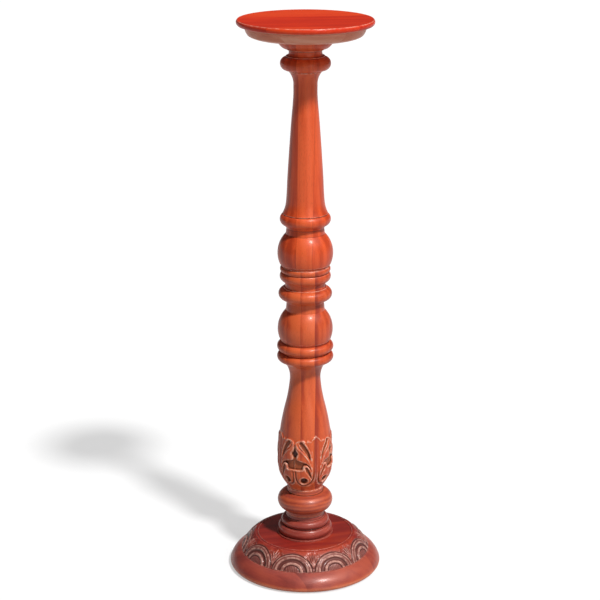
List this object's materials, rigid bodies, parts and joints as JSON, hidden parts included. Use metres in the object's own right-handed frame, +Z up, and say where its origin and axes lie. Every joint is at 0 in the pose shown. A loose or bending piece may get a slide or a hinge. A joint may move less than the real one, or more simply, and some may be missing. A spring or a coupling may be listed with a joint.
{
  "type": "pedestal column stand",
  "caption": "Tall turned hardwood pedestal stand: round dished top plate on a baluster column with balls, beads and a carved vase, on a stepped round base.",
  "frame": {"origin": "centre of the base on the floor, at the bottom face of the felt pads", "axes": "+Z up along the axis of turning; +X and +Y level, the +X axis passing through one felt pad and one base screw"},
  "size_m": [0.2756, 0.2756, 1.003],
  "materials": {
    "plate_wood": "glossy red-orange mahogany lacquer",
    "column_wood": "glossy red-orange mahogany lacquer, glued-up boards",
    "base_wood": "glossy deep red mahogany lacquer",
    "zinc_steel": "zinc plated, dull",
    "insert_brass": "machined",
    "pad_felt": "dark brown felt"
  },
  "bodies": {
    "root": {"top_plate": "plate_wood", "top_insert_nut": "insert_brass", "top_hanger_bolt": "zinc_steel", "upper_column": "column_wood", "lower_column": "column_wood", "knop": "column_wood", "base_collar": "base_wood", "carved_disc": "base_wood", "rim_disc": "base_wood", "base_screws": "zinc_steel", "column_washer": "zinc_steel", "column_lag_bolt": "zinc_steel", "felt_pads": "pad_felt"}
  },
  "joints": []
}
